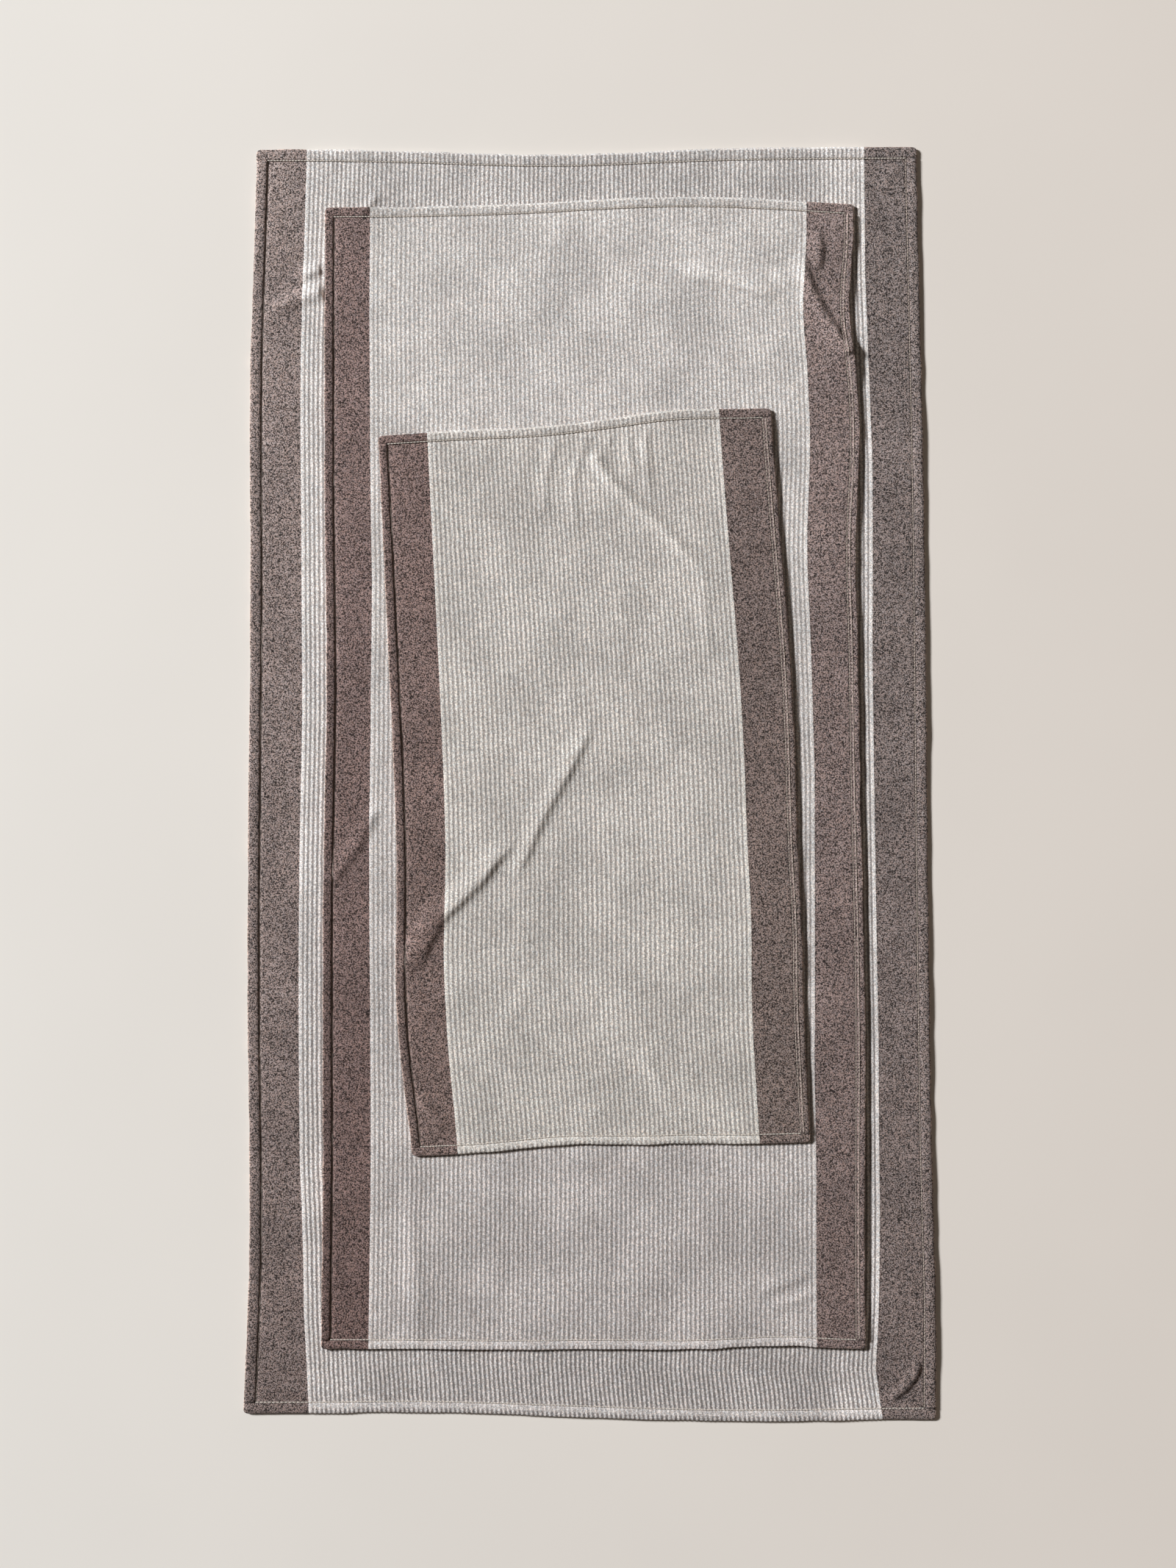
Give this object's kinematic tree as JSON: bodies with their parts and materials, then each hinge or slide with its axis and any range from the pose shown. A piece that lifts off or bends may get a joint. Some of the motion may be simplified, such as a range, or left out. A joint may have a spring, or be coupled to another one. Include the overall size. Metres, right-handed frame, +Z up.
{
  "type": "bath towel set",
  "caption": "Striped terry bath sheet, bath towel and hand towel with taupe side bands and sewn hems, laid out flat on one another.",
  "frame": {"origin": "middle of the set's box seen from above, on the surface that the bath sheet lies on", "axes": "+Y along the towels to their top ends, +X to their right-hand sides, +Z up through the stack"},
  "size_m": [0.876, 1.613, 0.0171],
  "materials": {
    "striped_terry": "looped cotton terry, off-white and greyish taupe lengthwise ribs between taupe bands",
    "taupe_terry": "looped cotton terry, plain taupe",
    "seam_thread": "matt sewing thread"
  },
  "bodies": {
    "bath_sheet": {"bath_sheet_cloth": "striped_terry", "bath_sheet_hem_left": "taupe_terry", "bath_sheet_hem_right": "taupe_terry", "bath_sheet_hem_top": "striped_terry", "bath_sheet_hem_bottom": "striped_terry", "bath_sheet_stitch_left": "seam_thread", "bath_sheet_stitch_right": "seam_thread", "bath_sheet_stitch_top": "seam_thread", "bath_sheet_stitch_bottom": "seam_thread"},
    "bath_towel": {"bath_towel_cloth": "striped_terry", "bath_towel_hem_left": "taupe_terry", "bath_towel_hem_right": "taupe_terry", "bath_towel_hem_top": "striped_terry", "bath_towel_hem_bottom": "striped_terry", "bath_towel_stitch_left": "seam_thread", "bath_towel_stitch_right": "seam_thread", "bath_towel_stitch_top": "seam_thread", "bath_towel_stitch_bottom": "seam_thread"},
    "hand_towel": {"hand_towel_cloth": "striped_terry", "hand_towel_hem_left": "taupe_terry", "hand_towel_hem_right": "taupe_terry", "hand_towel_hem_top": "striped_terry", "hand_towel_hem_bottom": "striped_terry", "hand_towel_stitch_left": "seam_thread", "hand_towel_stitch_right": "seam_thread", "hand_towel_stitch_top": "seam_thread", "hand_towel_stitch_bottom": "seam_thread"}
  },
  "joints": [
    {"name": "bath_towel_lift", "type": "slide", "parent": "bath_sheet", "child": "bath_towel", "axis": [0, 0, 1], "range_m": [0, 0.25]},
    {"name": "hand_towel_lift", "type": "slide", "parent": "bath_towel", "child": "hand_towel", "axis": [0, 0, 1], "range_m": [0, 0.25]}
  ]
}
